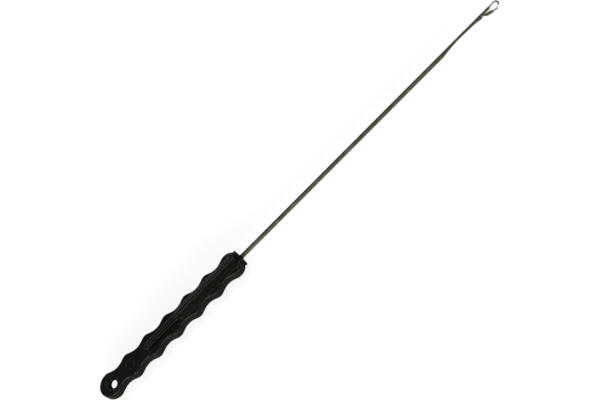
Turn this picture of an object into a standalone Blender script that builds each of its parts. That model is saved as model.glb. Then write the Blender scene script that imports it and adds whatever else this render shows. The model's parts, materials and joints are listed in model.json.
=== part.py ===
"""Latch-hook tool for drawing a plug into a tyre puncture.

Moulded finger grip, a washer at its mouth, one long round rod whose end is
shaped into a hook, and a small latch riveted in a slot so that it can close
the hook's eye or fold back into the scoop behind it.

Lengths are metres.  The tool lies along X, hook (front) end at +X, flats of
the grip level, +Z up.  The origin is under the middle of the tool at its
lowest point.  Stations along the tool are counted from the outer face of the
washer, and the whole tool hangs from one empty that carries this offset.
"""
import math

import bmesh
import bpy

MM = 0.001

# ------------------------------------------------------ shared dimensions
RUNNING = 0.05 * MM            # radial clearance of every pin or rod in its hole
ROD_R = 1.5 * MM
ROD_HOLE_R = ROD_R + RUNNING
TANG_END = -81.9 * MM          # rod end inside the grip
NOSE_X = 234.03 * MM           # foremost point of the hook

# grip, plan outline
LOBES = 7
LOBE_PITCH = 18.06 * MM
FIRST_LOBE = -8.06 * MM
WAVE_MEAN = 7.50 * MM          # half width between crest and hollow
WAVE_AMP = 1.31 * MM
WAVE_PEAK = 0.12 * MM          # makes the crests a little tighter than the hollows
LOBE_HALF = WAVE_MEAN + WAVE_AMP + WAVE_PEAK
NOSE_REACH = 7.9 * MM          # front bulb, length of its ellipse ahead of the lobe
GRIP_FRONT = -1.65 * MM
GRIP_HALF_T = 3.3 * MM         # slab half thickness
END_SHIFT = 0.2 * MM           # end bulb's centre, ahead of its place in the pitch
END_CENTRE = FIRST_LOBE - (LOBES - 1) * LOBE_PITCH + END_SHIFT
GRIP_REAR = END_CENTRE - LOBE_HALF

WASHER_R = 6.15 * MM

# hook end; the hook opens towards -Y of its own frame
HOOK_ROLL = math.radians(40.0)
PIVOT = (219.35 * MM, 0.0, 0.0)
RIVET_R = 0.42 * MM
RIVET_HOLE_R = RIVET_R + RUNNING
RIVET_HEAD_R = 0.66 * MM
CHEEK_HALF = 1.12 * MM         # flat seats of the rivet heads, from the mid plane

MOUTH_X = -(NOSE_X + GRIP_REAR) / 2.0
AXIS_Z = WASHER_R
ALONG_X = (0.0, math.pi / 2.0, 0.0)   # turns local Z onto the tool's axis


# -------------------------------------------------------- scene and materials
def clear_scene():
    for old in list(bpy.data.objects):
        bpy.data.objects.remove(old, do_unlink=True)


def collection(name):
    found = bpy.data.collections.get(name)
    if found is None:
        found = bpy.data.collections.new(name)
        bpy.context.scene.collection.children.link(found)
    return found


def material(name, colour, roughness, metallic):
    made = bpy.data.materials.new(name)
    made.use_nodes = True
    inputs = made.node_tree.nodes["Principled BSDF"].inputs
    inputs["Base Color"].default_value = (*colour, 1.0)
    inputs["Roughness"].default_value = roughness
    inputs["Metallic"].default_value = metallic
    return made


def grip_vinyl():
    return material("grip_vinyl", colour=(0.010, 0.013, 0.009), roughness=0.32, metallic=0.0)


def washer_black():
    return material("washer_black", colour=(0.008, 0.009, 0.007), roughness=0.45, metallic=0.0)


def rod_steel():
    return material("rod_steel", colour=(0.085, 0.083, 0.060), roughness=0.42, metallic=1.0)


def rivet_steel():
    return material("rivet_steel", colour=(0.30, 0.30, 0.27), roughness=0.35, metallic=1.0)


def latch_steel():
    return material("latch_steel", colour=(0.11, 0.10, 0.075), roughness=0.40, metallic=1.0)


def place(obj, parent, location=(0, 0, 0), rotation=(0, 0, 0), into="tyre_plug_insertion_tool"):
    collection(into).objects.link(obj)
    obj.parent = parent
    obj.location = location
    obj.rotation_euler = rotation


def frame(name, parent=None, location=(0, 0, 0), rotation=(0, 0, 0)):
    """Empty that carries the pieces built in its frame."""
    obj = bpy.data.objects.new(name, None)
    obj.empty_display_size = 5 * MM
    place(obj, parent, location, rotation)
    return obj


# -------------------------------------------------------------- shape helpers
def in_metres(rows):
    """Table of rows in mm, turned into metres."""
    return [tuple(value * MM for value in row) for row in rows]


def both_sides(side):
    """Close an outline with its mirror image across the X axis."""
    return side + [(x, -y) for x, y in reversed(side) if y > 1e-6]


def both_ends(half):
    """Extend a (station, radius) profile with its mirror image across station 0."""
    return half + [(-z, radius) for z, radius in reversed(half)]


def curve_object(curve, name, flat=False):
    """Turn a curve into an object with one welded mesh, then drop the curve;
    a flat plate gets each of its faces in one piece."""
    temp = bpy.data.objects.new(name + "_curve", curve)
    bpy.context.scene.collection.objects.link(temp)
    graph = bpy.context.evaluated_depsgraph_get()
    mesh = bpy.data.meshes.new_from_object(temp.evaluated_get(graph))
    bpy.data.objects.remove(temp, do_unlink=True)
    bpy.data.curves.remove(curve)
    mesh.name = name
    bm = bmesh.new()
    bm.from_mesh(mesh)
    bmesh.ops.remove_doubles(bm, verts=bm.verts, dist=1e-6)
    if flat:
        bmesh.ops.dissolve_limit(bm, angle_limit=0.001, verts=bm.verts, edges=bm.edges)
    bmesh.ops.recalc_face_normals(bm, faces=bm.faces)
    bm.to_mesh(mesh)
    bm.free()
    return bpy.data.objects.new(name, mesh)


def plate(name, outline, half):
    """Flat outline in XY, filled and extruded by half its thickness each way."""
    curve = bpy.data.curves.new(name, 'CURVE')
    curve.dimensions = '2D'
    curve.fill_mode = 'BOTH'
    curve.extrude = half
    spline = curve.splines.new('POLY')
    spline.points.add(len(outline) - 1)
    for point, (x, y) in zip(spline.points, outline):
        point.co = (x, y, 0.0, 1.0)
    spline.use_cyclic_u = True
    return curve_object(curve, name, flat=True)


def round_bar(name, path):
    """Round bar along a path of (x, y, radius)."""
    curve = bpy.data.curves.new(name, 'CURVE')
    curve.dimensions = '3D'
    curve.fill_mode = 'FULL'
    curve.bevel_depth = 1.0        # so that a point's radius is the bar's radius
    curve.bevel_resolution = 10
    curve.use_fill_caps = True
    spline = curve.splines.new('POLY')
    spline.points.add(len(path) - 1)
    for point, (x, y, radius) in zip(spline.points, path):
        point.co = (x, y, 0.0, 1.0)
        point.radius = radius
    return curve_object(curve, name)


def turned(name, profile, steps):
    """Profile of (station, radius) from the high station to the low one,
    turned about local Z; a profile clear of the axis at both ends is closed."""
    mesh = bpy.data.meshes.new(name)
    bm = bmesh.new()
    verts = [bm.verts.new((radius, 0.0, z)) for z, radius in profile]
    for start, end in zip(verts, verts[1:]):
        bm.edges.new((start, end))
    if profile[0][1] > 1e-7 and profile[-1][1] > 1e-7:
        bm.edges.new((verts[-1], verts[0]))
    bm.to_mesh(mesh)
    bm.free()
    obj = bpy.data.objects.new(name, mesh)
    screw = obj.modifiers.new("turn", 'SCREW')
    screw.axis = 'Z'
    screw.angle = math.tau
    screw.steps = steps
    screw.render_steps = steps
    screw.use_merge_vertices = True
    screw.merge_threshold = 0.000001
    screw.use_smooth_shade = True
    return obj


def drum(name, radius, depth, sides):
    """Cylinder centred on its origin, along local Z."""
    mesh = bpy.data.meshes.new(name)
    bm = bmesh.new()
    bmesh.ops.create_cone(bm, cap_ends=True, segments=sides, radius1=radius,
                          radius2=radius, depth=depth)
    bm.to_mesh(mesh)
    bm.free()
    return bpy.data.objects.new(name, mesh)


def smooth(obj, angle):
    obj.data.shade_smooth()
    obj.data.set_sharp_from_angle(angle=math.radians(angle))


def bevel_edges(obj, width, segments):
    bevel = obj.modifiers.new("edge", 'BEVEL')
    bevel.width = width
    bevel.segments = segments
    bevel.limit_method = 'ANGLE'
    bevel.angle_limit = math.radians(60.0)


def combine(target, shape, parent, location=(0, 0, 0), rotation=(0, 0, 0),
            operation='DIFFERENCE'):
    """Place a hidden shape and cut it from, or join it to, the target."""
    place(shape, parent, location, rotation, into="cutters")
    shape.hide_render = True
    shape.display_type = 'WIRE'
    boolean = target.modifiers.new(shape.name, 'BOOLEAN')
    boolean.operation = operation
    boolean.solver = 'EXACT'
    boolean.object = shape


# ----------------------------------------------------------------------- grip
GRIP_EDGE = 0.8 * MM           # edge rounding
END_STEPS = 12                 # outline steps round the rear bulb
WAVE_STEPS = 10                # per lobe
NOSE_STEPS = 7                 # round the front bulb

# round boss over the rod and the narrow rib behind it
BOSS_R = 6.0 * MM
DOME_STEPS = 7
SHOULDER_FRONT = -53.1 * MM
SHOULDER_FRONT_HALF = 5.2 * MM
SHOULDER_REAR = -56.8 * MM
RIB_HALF = 1.8 * MM
RIB_END_TOP = -81.4 * MM
RIB_END_FOOT = -85.4 * MM
RIB_SINK = 0.5 * MM            # how far the rib's end slope runs on into the slab
RIB_BREAK_LENGTH = 0.6 * MM    # small break between the rib's top and its end slope
RIB_BREAK_DROP = 0.25 * MM
PLAN_HALF = 7.0 * MM           # boss plan, half width where it clears the boss
PLAN_HALF_T = 8 * MM

# hang hole
HOLE_X = -115.4 * MM
HOLE_WAIST_X = 2.70 * MM       # half size along the tool
HOLE_WAIST_Y = 3.45 * MM       # half size across the tool
HOLE_LAND = 0.8 * MM           # half length of the straight waist
HOLE_FLARE = 2.10 * MM         # how far the mouths open
HOLE_FLARE_POWER = 1.15
HOLE_FLARE_STEPS = 4
HOLE_OVERRUN = 0.6 * MM        # cutter beyond the slab's faces
HOLE_RIM = 0.5 * MM            # cutter's extra radius beyond the faces

# rod bore
BORE_PAST_TANG = 0.3 * MM      # behind the rod's end
BORE_EXTRA = 4 * MM            # cutter length beyond the tang's

# blank round recess in the upper face
DISC_X = -98.4 * MM
DISC_R = 3.4 * MM
DISC_DEEP = 0.25 * MM
DISC_CUTTER = 2 * MM           # cutter height


def grip_half_width(x):
    """Half width of the plan outline at a station."""
    if x <= END_CENTRE:
        return math.sqrt(max(0.0, LOBE_HALF ** 2 - (x - END_CENTRE) ** 2))
    if x >= FIRST_LOBE:
        return LOBE_HALF * math.sqrt(max(0.0, 1.0 - ((x - FIRST_LOBE) / NOSE_REACH) ** 2))
    turn = math.tau * (x - FIRST_LOBE) / LOBE_PITCH
    # the last half wave is shortened slightly to meet the end bulb's centre
    last = FIRST_LOBE - (LOBES - 1.5) * LOBE_PITCH
    if x < last:
        turn = -math.tau * (LOBES - 1.5) - math.pi * (x - last) / (END_CENTRE - last)
    return WAVE_MEAN + WAVE_AMP * math.cos(turn) + WAVE_PEAK * math.cos(2 * turn)


def grip_outline():
    # rear half of the end bulb
    stations = [END_CENTRE - LOBE_HALF * math.cos(math.pi / 2 * k / END_STEPS)
                for k in range(END_STEPS + 1)]
    # waves
    span = FIRST_LOBE - END_CENTRE
    count = WAVE_STEPS * (LOBES - 1)
    stations += [END_CENTRE + span * k / count for k in range(1, count)]
    # front bulb up to its flat end
    reach = math.asin(min(1.0, (GRIP_FRONT - FIRST_LOBE) / NOSE_REACH))
    stations += [FIRST_LOBE + NOSE_REACH * math.sin(reach * k / NOSE_STEPS)
                 for k in range(NOSE_STEPS + 1)]
    return both_sides([(x, grip_half_width(x)) for x in stations])


def make_boss(tool):
    """Cylinder with a domed front and a sloping rear end, trimmed in plan."""
    profile = []
    for k in range(DOME_STEPS + 1):
        angle = math.pi / 2 * k / DOME_STEPS
        profile.append((FIRST_LOBE + BOSS_R * math.cos(angle), BOSS_R * math.sin(angle)))
    slope = (BOSS_R - GRIP_HALF_T) / (RIB_END_TOP - RIB_END_FOOT)
    rear = RIB_END_FOOT - RIB_SINK
    profile += [(RIB_END_TOP, BOSS_R),
                (RIB_END_TOP - RIB_BREAK_LENGTH, BOSS_R - RIB_BREAK_DROP),
                (rear, GRIP_HALF_T - RIB_SINK * slope),
                (rear, 0.0)]
    boss = turned("boss", profile, 40)

    # from the rib's rounded rear end, along the rib and shoulder, to full width
    side = [(RIB_END_FOOT, 0.0),
            (RIB_END_FOOT + 0.25 * MM, 0.9 * MM),
            (RIB_END_FOOT + 0.9 * MM, 1.5 * MM),
            (RIB_END_FOOT + 2.0 * MM, RIB_HALF),
            (SHOULDER_REAR, RIB_HALF),
            (SHOULDER_FRONT, SHOULDER_FRONT_HALF),
            (SHOULDER_FRONT + 2.0 * MM, PLAN_HALF),
            (0.0, PLAN_HALF)]
    plan = plate("boss_plan", both_sides(side), PLAN_HALF_T)
    combine(boss, plan, tool, operation='INTERSECT')
    return boss


def make_hang_hole():
    """Oval cutter with a straight waist and mouths opening like a trumpet."""
    flare = []
    for k in range(HOLE_FLARE_STEPS + 1):
        share = 1.0 - k / HOLE_FLARE_STEPS
        flare.append((HOLE_LAND + (GRIP_HALF_T - HOLE_LAND) * share,
                      HOLE_WAIST_X + HOLE_FLARE * share ** HOLE_FLARE_POWER))
    top = GRIP_HALF_T + HOLE_OVERRUN
    rim = [(top, 0.0), (top, flare[0][1] + HOLE_RIM)]
    hole = turned("hang_hole", both_ends(rim + flare), 28)
    hole.scale = (1.0, HOLE_WAIST_Y / HOLE_WAIST_X, 1.0)
    return hole


def make_grip(tool):
    grip = plate("grip", grip_outline(), GRIP_HALF_T)
    place(grip, tool)
    grip.data.materials.append(grip_vinyl())
    bevel_edges(grip, GRIP_EDGE, segments=2)
    combine(grip, make_boss(tool), tool, rotation=ALONG_X, operation='UNION')
    combine(grip, make_hang_hole(), tool, location=(HOLE_X, 0.0, 0.0))

    bore_length = BORE_EXTRA - TANG_END
    combine(grip, drum("rod_bore", ROD_HOLE_R, bore_length, 24), tool,
            location=(TANG_END - BORE_PAST_TANG + bore_length / 2, 0.0, 0.0),
            rotation=ALONG_X)
    combine(grip, drum("disc_recess", DISC_R, DISC_CUTTER, 32), tool,
            location=(DISC_X, 0.0, GRIP_HALF_T - DISC_DEEP + DISC_CUTTER / 2))
    smooth(grip, 35)


# --------------------------------------------------------------------- washer
WASHER_T = 1.3 * MM
WASHER_EDGE = 0.2 * MM         # chamfer of the outer edges
HUB_R = 2.0 * MM               # tapered hub, at its foot
HUB_LENGTH = 1.6 * MM
HUB_TIP_WALL = 0.12 * MM
HUB_MID_WALL = 0.30 * MM
HUB_MID_SHARE = 0.45           # height of the middle ring, as a share of the length


def make_washer(tool):
    profile = [(HUB_LENGTH, ROD_HOLE_R),
               (HUB_LENGTH, ROD_HOLE_R + HUB_TIP_WALL),
               (HUB_LENGTH * HUB_MID_SHARE, ROD_HOLE_R + HUB_MID_WALL),
               (0.0, HUB_R),
               (0.0, WASHER_R - WASHER_EDGE),
               (-WASHER_EDGE, WASHER_R),
               (-WASHER_T + WASHER_EDGE, WASHER_R),
               (-WASHER_T, WASHER_R - WASHER_EDGE),
               (-WASHER_T, ROD_HOLE_R)]
    washer = turned("mouth_washer", profile, 40)
    place(washer, tool, rotation=ALONG_X)
    washer.data.materials.append(washer_black())


# ------------------------------------------------------- rod, hook and slot
TANG_CHAMFER = 0.35 * MM
SLOT_HALF = 0.45 * MM
SCOOP_HALF = 4 * MM            # half thickness of the scoop's cutter
SCOOP_OUT = -4 * MM            # its side clear of the rod
SEAT_CUTTER = 1 * MM           # height of a rivet seat's cutter
SEAT_CLEARANCE = 0.06 * MM     # radial, round a rivet head

# stations of the full round rod, mm
ROD_STATIONS = [-40, 40, 120, 180, 218.3]

# hook's arm, back in line with the rod: station, lower edge y; mm
ARM = [(219.05, -1.26), (219.8, -0.88), (220.9, -0.72), (222.2, -0.44), (223.6, -0.28),
       (226.2, -0.20), (227.3, -0.04), (228.4, 0.19), (229.8, 0.34)]

# hook's bend round to its tip: station, centre y, radius; mm
BEND = [(231.2, 0.95, 0.55), (232.15, 0.80, 0.56), (232.95, 0.30, 0.56),
        (233.35, -0.30, 0.58), (233.44, -0.85, 0.59), (233.40, -1.40, 0.57),
        (233.08, -1.93, 0.48), (232.40, -2.22, 0.37), (231.60, -2.36, 0.30),
        (230.95, -2.47, 0.24), (230.72, -2.50, 0.14)]

# long scoop in the side the hook opens to: station, y of its floor; mm
SCOOP_FLOOR = [(183.4, -1.55), (185.6, -1.12), (188.4, -0.74), (191.5, -0.46),
               (195.0, -0.22), (199.0, -0.10), (203.5, -0.14), (207.0, -0.28),
               (210.5, -0.45), (213.5, -0.63), (215.8, -0.93), (217.1, -1.18),
               (218.3, -1.44), (218.7, -1.62)]

# slot for the latch: station, y; mm
SLOT_OUTLINE = [(208.9, -5.0), (208.9, -0.75), (213.2, 0.93), (222.6, 0.93),
                (225.8, -0.55), (225.8, -5.0)]


def rod_path():
    """Centre line and radius, from the tang to the hook's tip."""
    path = [(TANG_END, 0.0, ROD_R - TANG_CHAMFER), (TANG_END + TANG_CHAMFER, 0.0, ROD_R)]
    path += [(x * MM, 0.0, ROD_R) for x in ROD_STATIONS]
    path += [(x, (ROD_R + low) / 2, (ROD_R - low) / 2) for x, low in in_metres(ARM)]
    return path + in_metres(BEND)


def make_rod(head):
    rod = round_bar("rod", rod_path())
    place(rod, head)
    rod.data.materials.append(rod_steel())

    floor = in_metres(SCOOP_FLOOR)
    outline = floor + [(floor[-1][0], SCOOP_OUT), (floor[0][0], SCOOP_OUT)]
    combine(rod, plate("scoop", outline, SCOOP_HALF), head)
    combine(rod, plate("slot", in_metres(SLOT_OUTLINE), SLOT_HALF), head)

    # rivet hole through both cheeks, and flat seats for the rivet's heads
    combine(rod, drum("rivet_hole", RIVET_HOLE_R, 6 * MM, 20), head, location=PIVOT)
    for side, name in ((1, "seat_near"), (-1, "seat_far")):
        seat = drum(name, RIVET_HEAD_R + SEAT_CLEARANCE, SEAT_CUTTER, 20)
        combine(rod, seat, head,
                location=(PIVOT[0], 0.0, side * (CHEEK_HALF + SEAT_CUTTER / 2)))
    smooth(rod, 40)


# ---------------------------------------------------------------------- rivet
RIVET_HEAD_T = 0.22 * MM
RIVET_HEAD_GAP = 0.02 * MM     # between a head and its seat


def make_rivet(head):
    under = CHEEK_HALF + RIVET_HEAD_GAP
    half = [(under + RIVET_HEAD_T, 0.0),
            (under + RIVET_HEAD_T * 0.92, RIVET_HEAD_R * 0.55),
            (under + RIVET_HEAD_T * 0.45, RIVET_HEAD_R),
            (under, RIVET_HEAD_R),
            (under, RIVET_R)]
    rivet = turned("latch_rivet", both_ends(half), 20)
    place(rivet, head, location=PIVOT)
    rivet.data.materials.append(rivet_steel())


# ---------------------------------------------------------------------- latch
# own frame: origin on the rivet, +X along the latch, +Y towards the eye
LATCH_SLOPE = math.radians(-16.15)
LATCH_TURN = (0.0, 0.0, LATCH_SLOPE)
LATCH_HALF_T = 0.38 * MM
LATCH_HUB_R = 0.80 * MM
HUB_STEPS = 12
SPOON_HALF = 0.72 * MM
SPOON_EDGE = 0.16 * MM
CUP_R = 1.6 * MM
CUP_DEPTH = 1.1 * MM           # along the rivet's axis
CUP_X = 11.2 * MM              # cup's centre in the latch's frame
CUP_Y = 1.68 * MM

# outline from the hub out to the tip and back: x, y; mm
LATCH_OUTLINE = [
    (2.0, -0.62), (2.6, -0.80), (3.1, -1.15), (3.6, -1.36), (4.4, -1.43),
    (5.4, -1.45), (6.4, -1.42), (7.3, -1.33), (8.0, -1.20), (8.7, -1.00),
    (9.5, -0.88), (10.4, -0.82), (11.2, -0.78), (11.8, -0.70), (12.15, -0.52),
    (12.3, -0.25), (12.25, 0.05), (12.05, 0.25), (11.6, 0.30), (10.9, 0.25),
    (10.2, 0.24), (9.4, 0.24), (8.8, 0.27), (8.2, 0.37), (7.5, 0.51), (6.8, 0.60),
    (6.1, 0.58), (5.3, 0.48), (4.5, 0.42), (3.6, 0.40), (2.6, 0.42), (1.6, 0.55)]

# outline of the spoon at the latch's tip: x, y; mm
SPOON_OUTLINE = [
    (9.35, -0.84), (10.4, -0.80), (11.2, -0.76), (11.8, -0.67), (12.1, -0.50),
    (12.24, -0.24), (12.19, 0.04), (12.02, 0.22), (11.6, 0.27), (10.9, 0.22),
    (10.2, 0.21), (9.5, 0.16)]


def make_latch(head):
    outline = []
    for k in range(HUB_STEPS + 1):      # round the back of the hub
        angle = math.radians(60 + 240 * k / HUB_STEPS)
        outline.append((LATCH_HUB_R * math.cos(angle), LATCH_HUB_R * math.sin(angle)))
    latch = plate("latch", outline + in_metres(LATCH_OUTLINE), LATCH_HALF_T)
    place(latch, head, location=PIVOT, rotation=LATCH_TURN)
    latch.data.materials.append(latch_steel())

    # spoon: the last part of the latch is wider than the slot and slightly cupped
    spoon = plate("spoon", in_metres(SPOON_OUTLINE), SPOON_HALF)
    bevel_edges(spoon, SPOON_EDGE, segments=1)
    combine(latch, spoon, head, location=PIVOT, rotation=LATCH_TURN, operation='UNION')
    cos, sin = math.cos(LATCH_SLOPE), math.sin(LATCH_SLOPE)
    combine(latch, drum("cup", CUP_R, CUP_DEPTH, 24), head,
            location=(PIVOT[0] + cos * CUP_X - sin * CUP_Y, sin * CUP_X + cos * CUP_Y, 0.0),
            rotation=LATCH_TURN)
    combine(latch, drum("latch_bore", RIVET_HOLE_R, 4 * MM, 20), head, location=PIVOT)
    smooth(latch, 40)


# ------------------------------------------------------------------- assembly
def main():
    clear_scene()
    tool = frame("tool_frame", location=(MOUTH_X, 0.0, AXIS_Z))
    head = frame("hook_frame", parent=tool, rotation=(HOOK_ROLL, 0.0, 0.0))
    make_grip(tool)
    make_washer(tool)
    make_rod(head)
    make_rivet(head)
    make_latch(head)
    bpy.context.view_layer.update()


main()
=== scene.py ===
"""Looks of a latch-hook tool: a wavy vinyl grip, a washer at its mouth, and a steel
rod that ends in a hook with a hinged latch.

Shapes are in millimetres in the tool's own axes: X runs along the rod from the
washer's outer face (0) towards the hook, Z points out of the grip's upper flat.
The hook end uses the same axes rolled about X, and the hook opens to its -Y side.
Grip, hook end and latch are signed distances (below zero inside) meshed on a grid
and settled onto the exact surface.  Washer, rivet and plain rod are turned.
"""
import json
import math

import bmesh
import bpy
import numpy as np
from mathutils import Matrix, Vector


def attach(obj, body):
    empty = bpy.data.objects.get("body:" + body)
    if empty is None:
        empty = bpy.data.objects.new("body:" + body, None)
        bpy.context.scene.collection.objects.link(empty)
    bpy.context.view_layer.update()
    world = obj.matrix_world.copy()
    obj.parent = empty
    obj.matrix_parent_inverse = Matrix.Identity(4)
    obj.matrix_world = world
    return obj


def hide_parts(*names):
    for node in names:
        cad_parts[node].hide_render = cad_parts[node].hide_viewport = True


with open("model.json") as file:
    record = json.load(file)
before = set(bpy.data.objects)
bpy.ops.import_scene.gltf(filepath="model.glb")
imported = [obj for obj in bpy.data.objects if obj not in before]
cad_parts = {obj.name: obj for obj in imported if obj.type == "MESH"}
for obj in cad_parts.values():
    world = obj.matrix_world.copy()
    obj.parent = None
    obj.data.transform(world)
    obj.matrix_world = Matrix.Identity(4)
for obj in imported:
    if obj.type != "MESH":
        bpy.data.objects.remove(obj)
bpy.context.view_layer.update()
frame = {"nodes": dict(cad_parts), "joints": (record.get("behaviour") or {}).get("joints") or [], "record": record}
RECORD = frame["record"]
MM = 0.001                         # one millimetre in metres
PER_MM = 1000.0                    # texture scale for one feature per millimetre

# ------------------------------------------------------------ where things are
mounts = {mount["name"]: mount for mount in RECORD["mounts"]}
hinge = [joint for joint in frame["joints"] if joint["name"] == "latch_hinge"][0]
MOUTH_X = mounts["mouth_face"]["pos_m"][0]
AXIS_Z = hinge["pos_m"][2]
PIVOT = (hinge["pos_m"][0] - MOUTH_X) / MM
ROLL = math.atan2(hinge["axis"][1], -hinge["axis"][2])     # hook plane about the rod

TOOL = Matrix.Translation((MOUTH_X, 0.0, AXIS_Z)) @ Matrix.Scale(MM, 4)
HEAD = TOOL @ Matrix.Rotation(ROLL, 4, 'X')
HINGE = HEAD @ Matrix.Translation((PIVOT, 0, 0))


def install(obj, node, link="tool"):
    """Put obj in place of a CAD node and moving link."""
    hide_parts(node)
    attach(obj, link)
    return obj


# ------------------------------------------------------------ distance helpers
def smooth_max(first, second, width):
    """Maximum whose crease is rounded over the given width."""
    near = np.maximum(width - np.abs(first - second), 0.0) / width
    return np.maximum(first, second) + near * near * width * 0.25


def smooth_min(first, second, width):
    return -smooth_max(-first, -second, width)


def rounded_slab(plan, height, edge):
    """Where plan and height are both below zero, with edges of radius edge."""
    side, top = plan + edge, height + edge
    outside = np.hypot(np.maximum(side, 0), np.maximum(top, 0))
    return np.minimum(np.maximum(side, top), 0) + outside - edge


def ripple(points, scale, seed):
    """Smooth irregular field of about one unit, from a few crossed waves."""
    rng = np.random.default_rng(seed)
    total = np.zeros(len(points))
    for _ in range(9):
        heading = rng.normal(size=3)
        heading = heading / np.linalg.norm(heading) * (math.tau / scale) * rng.uniform(0.55, 1.6)
        total += np.sin(points @ heading + rng.uniform(0, math.tau))
    return total / 3.0


# ------------------------------------------------------------- mesh by distance
PROBE = 0.004                      # step for measuring the slope of a field
CHUNK = 60                         # grid planes evaluated at a time


def slope_of(field, points):
    slope = np.empty_like(points)
    for i in range(3):
        step = np.zeros(3)
        step[i] = PROBE
        slope[:, i] = (field(points + step) - field(points - step)) / (2 * PROBE)
    return slope


def settle(field, points, reach):
    """Move points onto the surface where field is zero."""
    for _ in range(3):
        slope = slope_of(field, points)
        steep = np.maximum((slope * slope).sum(1), 0.05)
        gap = np.clip(field(points), -reach, reach)
        points = points - slope * (gap / steep)[:, None]
    return points


def relax(verts, quads, share, fixed):
    """Even out the quads: each point goes part of the way to its neighbours."""
    total = np.zeros_like(verts)
    count = np.zeros(len(verts))
    for i, j in ((0, 1), (1, 2), (2, 3), (3, 0)):
        for here, there in ((i, j), (j, i)):
            np.add.at(total, quads[:, here], verts[quads[:, there]])
            np.add.at(count, quads[:, here], 1)
    mean = total / np.maximum(count, 1)[:, None]
    moved = verts + (mean - verts) * share
    if fixed is not None:
        moved[fixed] = verts[fixed]
    return moved


def finish_skin(field, verts, quads, reach, share, fixed=None):
    verts = settle(field, verts, reach)
    for _ in range(2):
        verts = settle(field, relax(verts, quads, share, fixed), reach)
    return verts


def cells_beside(index, axes, shift, shape):
    """Cells shifted along two axes from the grid edges, and which of them exist."""
    cell = index.copy()
    cell[:, axes[0]] += shift[0]
    cell[:, axes[1]] += shift[1]
    return cell, ((cell >= 0) & (cell < shape)).all(1)


def net(field, *grids):
    """Quad mesh of the zero surface on a grid: one point in each cell that the
    surface crosses, one quad for each grid edge that it crosses."""
    xs, ys, zs = grids
    values = np.empty([len(line) for line in grids], np.float32)
    for start in range(0, len(xs), CHUNK):
        part = slice(start, min(len(xs), start + CHUNK))
        block = np.meshgrid(xs[part], ys, zs, indexing='ij')
        points = np.stack([coord.ravel() for coord in block], 1)
        values[part] = field(points).reshape(block[0].shape)
    inside = values < 0
    shape = np.array(values.shape) - 1
    total = np.zeros((*shape, 3), np.float32)
    count = np.zeros(shape, np.int32)
    crossings = []
    for axis in range(3):
        low = [slice(None)] * 3
        high = [slice(None)] * 3
        low[axis] = slice(0, -1)
        high[axis] = slice(1, None)
        low, high = tuple(low), tuple(high)
        cross = inside[low] != inside[high]
        index = np.argwhere(cross)
        crossings.append((axis, index, inside[low][cross]))
        before, after = values[low][cross], values[high][cross]
        share = before / (before - after)
        point = np.stack([grids[i][index[:, i]] for i in range(3)], 1).astype(float)
        line = grids[axis]
        point[:, axis] += share * (line[index[:, axis] + 1] - line[index[:, axis]])
        others = [i for i in range(3) if i != axis]
        for shift in ((0, 0), (0, -1), (-1, 0), (-1, -1)):
            cell, exists = cells_beside(index, others, shift, shape)
            where = tuple(cell[exists].T)
            np.add.at(total, where, point[exists])
            np.add.at(count, where, 1)
    used = count > 0
    number = np.full(used.shape, -1, np.int64)
    number[used] = np.arange(used.sum())
    verts = (total[used] / count[used][:, None]).astype(float)
    quads = []
    for axis, index, first_inside in crossings:
        others = [i for i in range(3) if i != axis]
        if axis == 1:
            others = others[::-1]
        corners = []
        whole = np.ones(len(index), bool)
        for shift in ((-1, -1), (0, -1), (0, 0), (-1, 0)):
            cell, exists = cells_beside(index, others, shift, shape)
            whole &= exists
            corners.append(cell)
        ring = np.stack([number[tuple(cell[whole].T)] for cell in corners], 1)
        outward = first_inside[whole]
        ring[~outward] = ring[~outward][:, ::-1]
        quads.append(ring)
    return verts, np.concatenate(quads)


def mesh_object(name, verts, faces, world):
    mesh = bpy.data.meshes.new(name)
    mesh.from_pydata([tuple(vert) for vert in verts], [],
                     [tuple(int(i) for i in face) for face in faces])
    mesh.transform(world)
    mesh.update()
    mesh.shade_smooth()
    obj = bpy.data.objects.new(name, mesh)
    bpy.context.scene.collection.objects.link(obj)
    return obj


def distance_object(name, field, grids, world):
    verts, quads = net(field, *grids)
    reach = float(np.diff(grids[0]).max())
    verts = finish_skin(field, verts, quads, reach, share=0.6)
    return mesh_object(name, verts, quads, world)


def grid(start, stop, step):
    return np.arange(start, stop + step * 0.5, step)


def bands(*steps):
    """Grid lines mirrored about zero: (reach, spacing) pairs from the middle out."""
    at = 0.5 * steps[0][1]
    line = [at]
    for reach, spacing in steps:
        while at < reach:
            at += spacing
            line.append(at)
    return np.array([-value for value in reversed(line)] + line)


# ------------------------------------------------------------------------ grip
LOBES, PITCH = 7, 18.06
FIRST = -8.06                      # centre of the front lobe
MEAN, AMP, PEAK = 7.52, 1.31, 0.12           # half width: mean, wave, second harmonic
LOBE_HALF = MEAN + AMP + PEAK
NOSE, NOSE_POWER = 7.9, 2.3        # length and fullness; 2 would be an ellipse
FRONT = -1.42                      # flat front end
HALF_T, EDGE, BULGE = 3.3, 0.95, 0.10        # slab: half thickness, edge radius, side bulge
END = FIRST - (LOBES - 1) * PITCH + 0.2      # centre of the round rear end
LAST = FIRST - (LOBES - 1.5) * PITCH         # last waist
PARTING_H, PARTING_W = 0.05, 0.10  # raised line round the middle of the wall
BOSS_R, BALL_STRETCH = 6.1, 1.07
CREST_DEEP, CREST_W = 0.24, 0.30   # groove along the boss crest
CREST_REAR, CREST_FRONT = -58.6, -8.2
CREST_FADE_REAR, CREST_FADE_FRONT = 1.5, 1.2
SHOULDER_FOOT, SHOULDER_TOP, SHOULDER_HALF = -53.1, -56.8, 5.2
RIB_HALF = 1.5
RIB_TOP, RIB_FOOT = -81.4, -85.4
RIB_TAIL = RIB_FOOT + 1.9          # where the rib's rounded rear end begins
FILLET_START, FILLET_RUN = -8.5, 3.5         # wider fillet towards the front
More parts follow.
